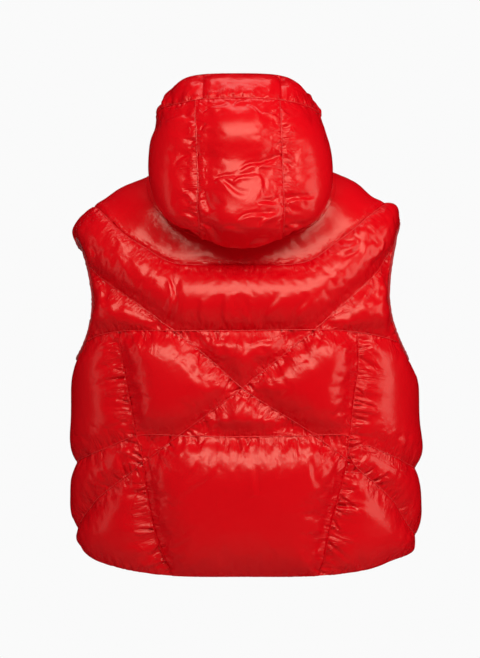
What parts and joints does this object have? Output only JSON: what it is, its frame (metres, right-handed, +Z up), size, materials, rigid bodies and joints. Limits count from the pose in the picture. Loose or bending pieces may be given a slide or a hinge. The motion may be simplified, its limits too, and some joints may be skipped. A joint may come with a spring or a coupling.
{
  "type": "hooded puffer vest",
  "caption": "Cropped sleeveless down vest with a hood, filled out as when worn: quilted back with crossed lines, gathered side seams, hood with a face band, front zip with a swinging pull.",
  "frame": {"origin": "between the wearer's shoulders on the vest's middle plane, 36 mm under the stitched top of the shoulders beside the neck", "axes": "+Z up along the wearer's trunk, the front and its zip face -Y, the wearer's left is +X"},
  "size_m": [0.5455, 0.3657, 0.7503],
  "materials": {
    "shell_nylon": "glossy coated down-proof nylon",
    "trim_fabric": "matt woven binding and zip tape",
    "zip_metal": "satin plated zinc"
  },
  "bodies": {
    "vest": {"back_yoke": "shell_nylon", "back_upper": "shell_nylon", "back_lower": "shell_nylon", "side_left": "shell_nylon", "side_right": "shell_nylon", "front_left": "shell_nylon", "front_right": "shell_nylon", "hood_centre": "shell_nylon", "hood_side_left": "shell_nylon", "hood_side_right": "shell_nylon", "hood_band": "shell_nylon", "hood_flap": "trim_fabric", "armhole_binding_left": "trim_fabric", "armhole_binding_right": "trim_fabric", "zip_tape_left": "trim_fabric", "zip_tape_right": "trim_fabric", "zip_slider": "zip_metal"},
    "zip_pull": {"zip_pull": "zip_metal"}
  },
  "joints": [
    {"name": "zip_pull_hinge", "type": "hinge", "parent": "vest", "child": "zip_pull", "pos_m": [0, -0.13452, 0.01057], "axis": [-1, 0, 0], "range_deg": [0, 155]}
  ]
}
